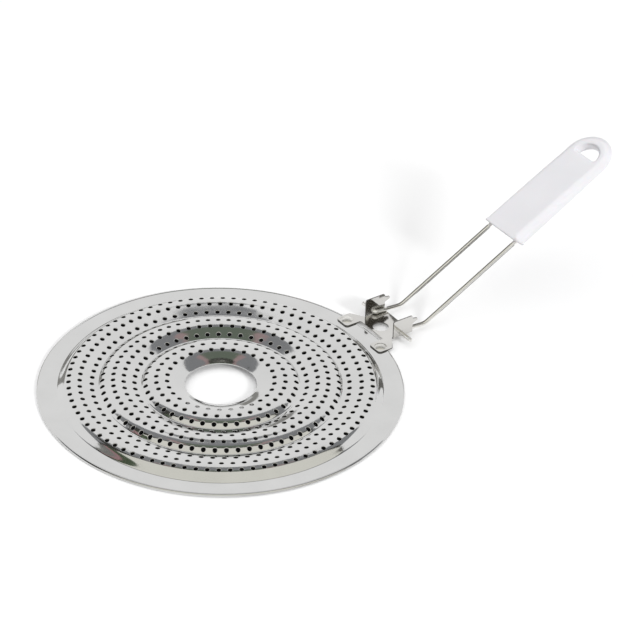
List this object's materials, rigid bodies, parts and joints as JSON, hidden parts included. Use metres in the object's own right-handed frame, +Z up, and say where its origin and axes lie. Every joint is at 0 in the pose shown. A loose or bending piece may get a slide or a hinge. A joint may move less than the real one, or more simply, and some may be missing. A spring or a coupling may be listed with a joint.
{
  "type": "stove heat plate",
  "caption": "Round waved steel heat diffuser plate with rows of small holes, a centre opening and a folding wire handle with a moulded grip.",
  "frame": {"origin": "centre of the plane that the folded rim rests on, on the axis of the discs", "axes": "+X from the discs towards the handle, +Z up out of the hob, +Y along the hinge line of the handle"},
  "size_m": [0.3812, 0.21, 0.0798],
  "materials": {
    "disc_steel": "bright rolled sheet",
    "bracket_steel": "polished",
    "wire_steel": "bright drawn wire",
    "grip_plastic": "moulded, slightly glossy"
  },
  "bodies": {
    "plate": {"upper_disc": "disc_steel", "lower_disc": "disc_steel", "hinge_bracket": "bracket_steel", "left_rivet": "bracket_steel", "right_rivet": "bracket_steel"},
    "handle": {"handle_wire": "wire_steel", "grip": "grip_plastic"}
  },
  "joints": [
    {"name": "handle_fold", "type": "hinge", "parent": "plate", "child": "handle", "pos_m": [0.117, 0, 0.00432], "axis": [0, -1, 0], "range_deg": [0, 150]}
  ]
}
